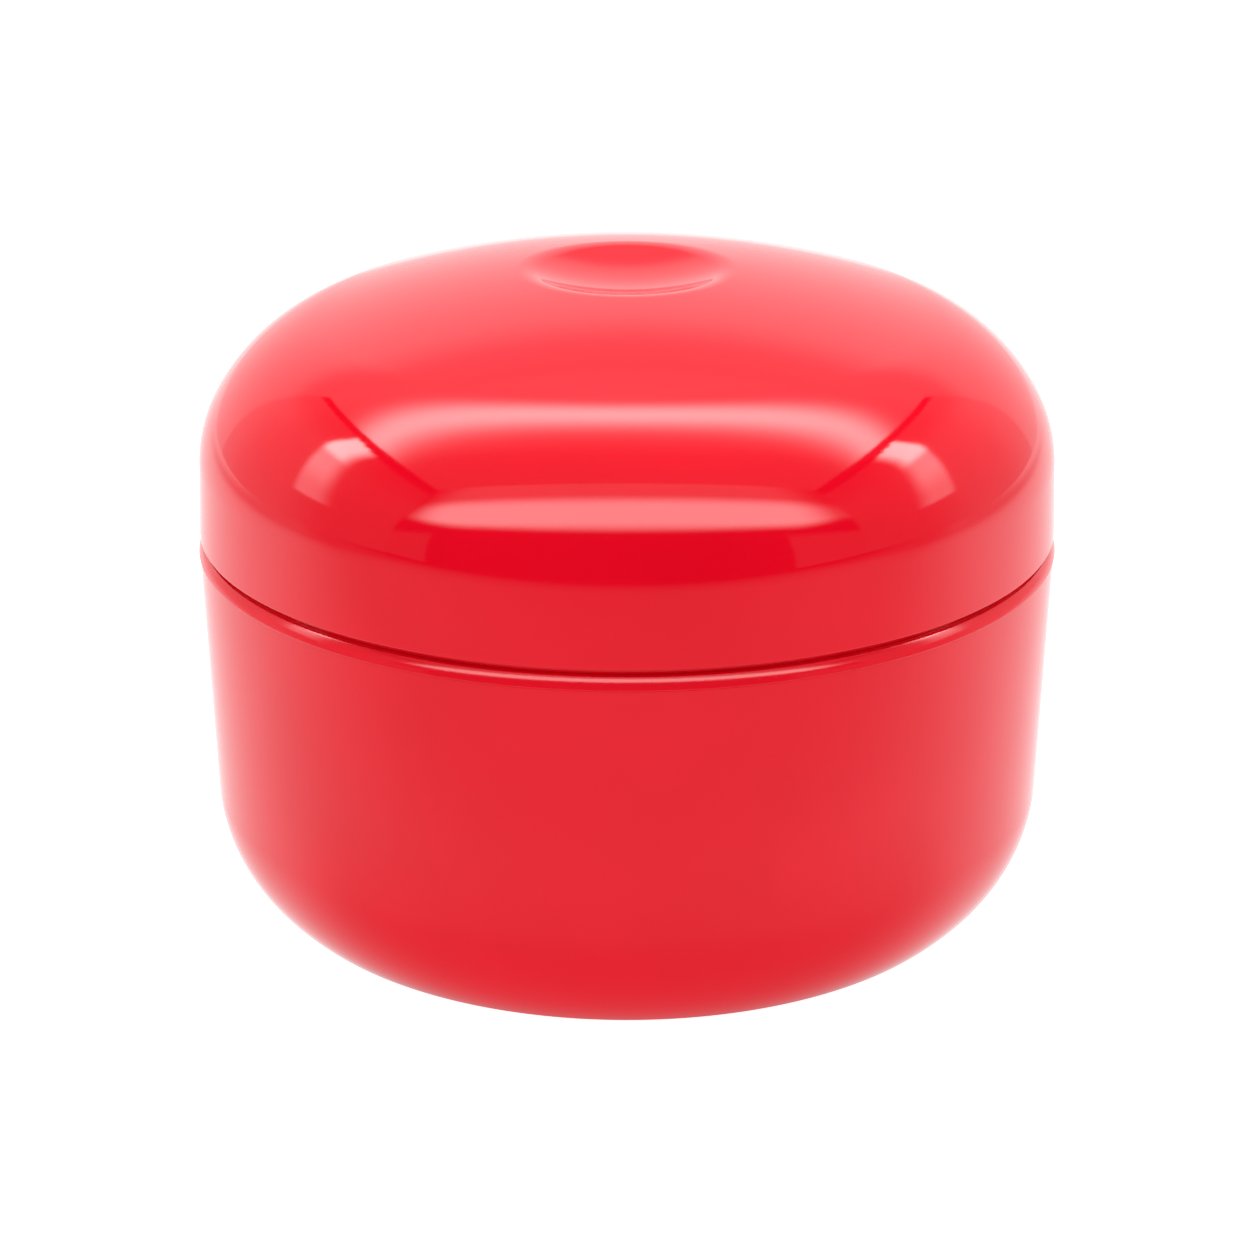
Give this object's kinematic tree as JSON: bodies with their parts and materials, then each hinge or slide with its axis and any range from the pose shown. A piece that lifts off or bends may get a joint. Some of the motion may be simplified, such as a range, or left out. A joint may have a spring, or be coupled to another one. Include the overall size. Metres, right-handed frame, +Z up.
{
  "type": "lidded ice bucket",
  "caption": "Round red double-walled plastic ice bucket with rounded bottom, rim bead and a lift-off domed lid with a thumb dish in its crown.",
  "frame": {"origin": "centre of the foot, on the surface that the bucket stands on", "axes": "+Z up along the bucket's axis of revolution; +X and +Y are alike, apart from the grid's holes and feet"},
  "size_m": [0.2, 0.2, 0.1494],
  "materials": {
    "shell_red": "polished injection-moulded plastic",
    "liner_red": "polished injection-moulded plastic",
    "lid_red": "polished injection-moulded plastic",
    "pan_red": "polished injection-moulded plastic",
    "grid_white": "semi-gloss moulded plastic",
    "body_foam": "bead foam",
    "lid_foam_white": "bead foam"
  },
  "bodies": {
    "bucket": {"outer_shell": "shell_red", "liner": "liner_red", "foam_wrap": "body_foam", "foam_floor": "body_foam"},
    "grid": {"drain_grid": "grid_white"},
    "lid": {"lid_dome": "lid_red", "lid_pan": "pan_red", "lid_foam": "lid_foam_white"}
  },
  "joints": [
    {"name": "lid_lift", "type": "slide", "parent": "bucket", "child": "lid", "axis": [0, 0, 1], "range_m": [0, 0.12]},
    {"name": "grid_lift", "type": "slide", "parent": "bucket", "child": "grid", "axis": [0, 0, 1], "range_m": [0, 0.05]}
  ]
}
